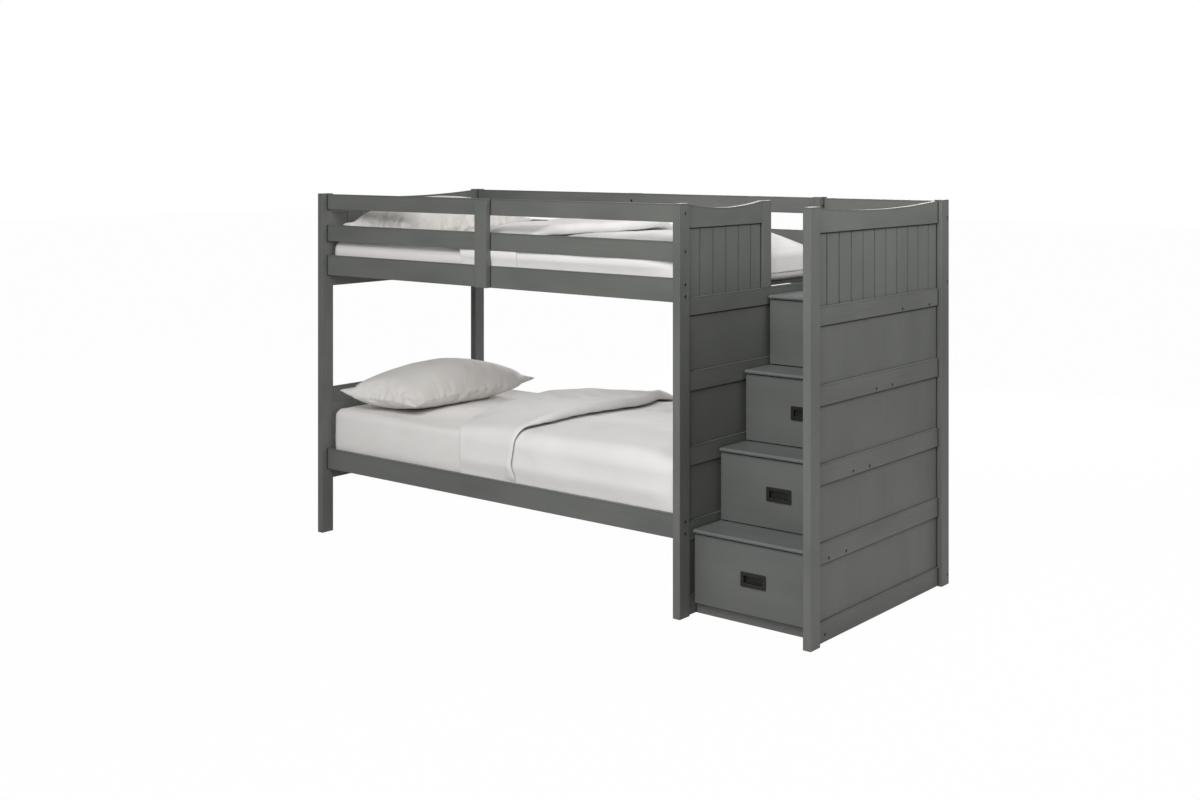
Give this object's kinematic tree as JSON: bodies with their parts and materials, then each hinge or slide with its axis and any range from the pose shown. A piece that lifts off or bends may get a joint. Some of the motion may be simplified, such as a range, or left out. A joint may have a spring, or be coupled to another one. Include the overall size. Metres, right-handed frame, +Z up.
{
  "type": "bunk bed",
  "caption": "Bunk bed with guard rails, slatted decks and made-up bedding, entered over a staircase of storage drawers at its foot end.",
  "frame": {"origin": "centre of the bounding box's footprint, on the floor under the post feet", "axes": "+X along the bed from the head to the stairs, +Y from the open front to the back, +Z up"},
  "size_m": [2.543, 1.076, 1.53],
  "materials": {
    "frame_paint": "grey paint, satin, over solid wood",
    "panel_paint": "grey paint, satin, over board panels",
    "drawer_paint": "grey paint, satin, over solid wood",
    "tread_paint": "grey paint, satin, open grain showing",
    "drawer_box_wood": "clear lacquer, satin",
    "slat_wood": "thin grey paint over planed wood",
    "pull_metal": "near-black, satin, rubbed edges",
    "bolt_metal": "black oxide, matt",
    "mattress_cover": "fitted cotton sheet, off-white",
    "pillow_cover": "cotton pillowcase, off-white",
    "duvet_cover": "cotton duvet cover, off-white"
  },
  "bodies": {
    "bed": {"back_middle_guard_rail": "frame_paint", "back_top_guard_rail": "frame_paint", "bed_slats": "slat_wood", "drawer_runners": "frame_paint", "frame_bolts": "bolt_metal", "front_middle_guard_rail": "frame_paint", "front_top_guard_rail": "frame_paint", "guard_centre_boards": "frame_paint", "head_beadboard": "panel_paint", "head_lower_rail": "frame_paint", "head_top_rail": "frame_paint", "inner_back_post": "frame_paint", "inner_beadboard": "panel_paint", "inner_cross_rails": "frame_paint", "inner_entry_rail": "frame_paint", "inner_front_post": "frame_paint", "inner_panels": "panel_paint", "inner_stile": "frame_paint", "inner_top_rail": "frame_paint", "left_back_post": "frame_paint", "left_front_post": "frame_paint", "lower_back_side_rail": "frame_paint", "lower_duvet": "duvet_cover", "lower_front_side_rail": "frame_paint", "lower_head_panel": "panel_paint", "lower_head_rails": "frame_paint", "lower_mattress": "mattress_cover", "lower_pillow": "pillow_cover", "outer_back_post": "frame_paint", "outer_beadboard": "panel_paint", "outer_cross_rails": "frame_paint", "outer_entry_rail": "frame_paint", "outer_front_post": "frame_paint", "outer_panels": "panel_paint", "outer_top_rail": "frame_paint", "slat_cleats": "frame_paint", "stair_back_rails": "frame_paint", "stair_plinth": "frame_paint", "tread_1": "tread_paint", "tread_2": "tread_paint", "tread_3": "tread_paint", "tread_4": "tread_paint", "tread_cleats": "frame_paint", "upper_back_side_rail": "frame_paint", "upper_duvet": "duvet_cover", "upper_front_side_rail": "frame_paint", "upper_mattress": "mattress_cover", "upper_pillow": "pillow_cover"},
    "drawer_1": {"drawer_1_front": "drawer_paint", "drawer_1_box": "drawer_box_wood", "drawer_1_pull": "pull_metal"},
    "drawer_2": {"drawer_2_front": "drawer_paint", "drawer_2_box": "drawer_box_wood", "drawer_2_pull": "pull_metal"},
    "drawer_3": {"drawer_3_front": "drawer_paint", "drawer_3_box": "drawer_box_wood", "drawer_3_pull": "pull_metal"},
    "drawer_4": {"drawer_4_front": "drawer_paint", "drawer_4_box": "drawer_box_wood", "drawer_4_pull": "pull_metal"}
  },
  "joints": [
    {"name": "drawer_1_slide", "type": "slide", "parent": "bed", "child": "drawer_1", "axis": [0, -1, 0], "range_m": [0, 0.3]},
    {"name": "drawer_2_slide", "type": "slide", "parent": "bed", "child": "drawer_2", "axis": [0, -1, 0], "range_m": [0, 0.3]},
    {"name": "drawer_3_slide", "type": "slide", "parent": "bed", "child": "drawer_3", "axis": [0, -1, 0], "range_m": [0, 0.3]},
    {"name": "drawer_4_slide", "type": "slide", "parent": "bed", "child": "drawer_4", "axis": [0, -1, 0], "range_m": [0, 0.3]}
  ]
}
